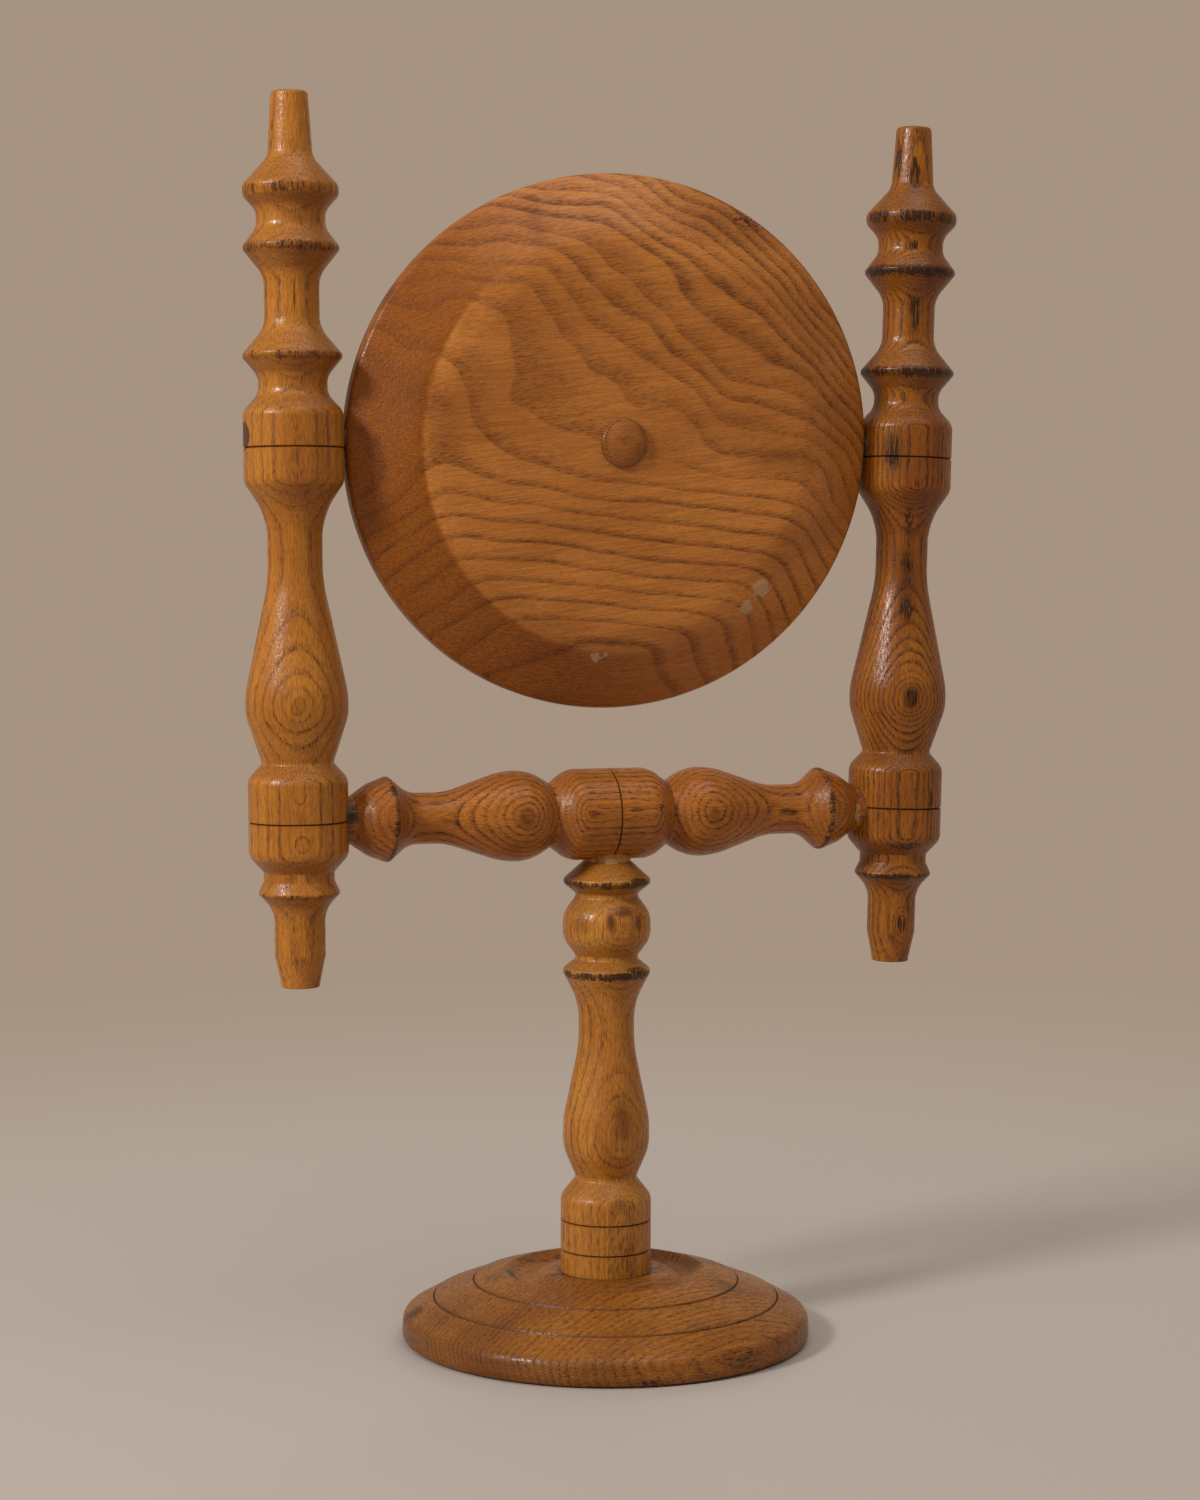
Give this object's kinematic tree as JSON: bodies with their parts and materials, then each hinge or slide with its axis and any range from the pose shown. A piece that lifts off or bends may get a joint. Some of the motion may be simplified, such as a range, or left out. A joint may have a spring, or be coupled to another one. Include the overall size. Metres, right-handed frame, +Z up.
{
  "type": "swivel_vanity_mirror",
  "caption": "Table-top swivel vanity mirror in honey-coloured turned wood: a round disc with a glass in its front swings between two baluster posts on a crossbar, stem and domed round base.",
  "frame": {"origin": "the middle of the base's underside, on the table", "axes": "+Z up along the stem; +X along the crossbar towards the right post; -Y is the side the glass faces when the disc stands upright; at rest the disc's head leans back 2.9 degrees, as pictured"},
  "size_m": [0.282, 0.1552, 0.4635],
  "materials": {
    "turned_wood": "honey-orange lacquered turned hardwood with open pores, satin",
    "turned_wood_dark": "the same lacquered hardwood, a darker piece",
    "felt": "dark green baize",
    "steel": "plain steel wood screws",
    "brass": "plain brass",
    "leather": "dark sole leather",
    "card": "grey-brown backing card",
    "mirror": "silvered glass with a ground edge"
  },
  "bodies": {
    "stand": {"base": "turned_wood", "base_felt": "felt", "base_screw": "steel", "stem": "turned_wood", "crossbar": "turned_wood", "left_post": "turned_wood_dark", "right_post": "turned_wood", "left_head_washer": "brass", "right_head_washer": "brass", "left_friction_washer": "leather", "right_friction_washer": "leather", "left_pellet": "turned_wood_dark", "right_pellet": "turned_wood_dark"},
    "mirror": {"mirror_disc": "turned_wood", "back_button": "turned_wood_dark", "backing_card": "card", "mirror_glass": "mirror", "retaining_ring": "turned_wood", "ring_brads": "brass", "left_pivot_screw": "steel", "right_pivot_screw": "steel"}
  },
  "joints": [
    {"name": "mirror_swivel", "type": "hinge", "parent": "stand", "child": "mirror", "pos_m": [0, 0, 0.3397], "axis": [1, 0, 0], "continuous": true}
  ]
}
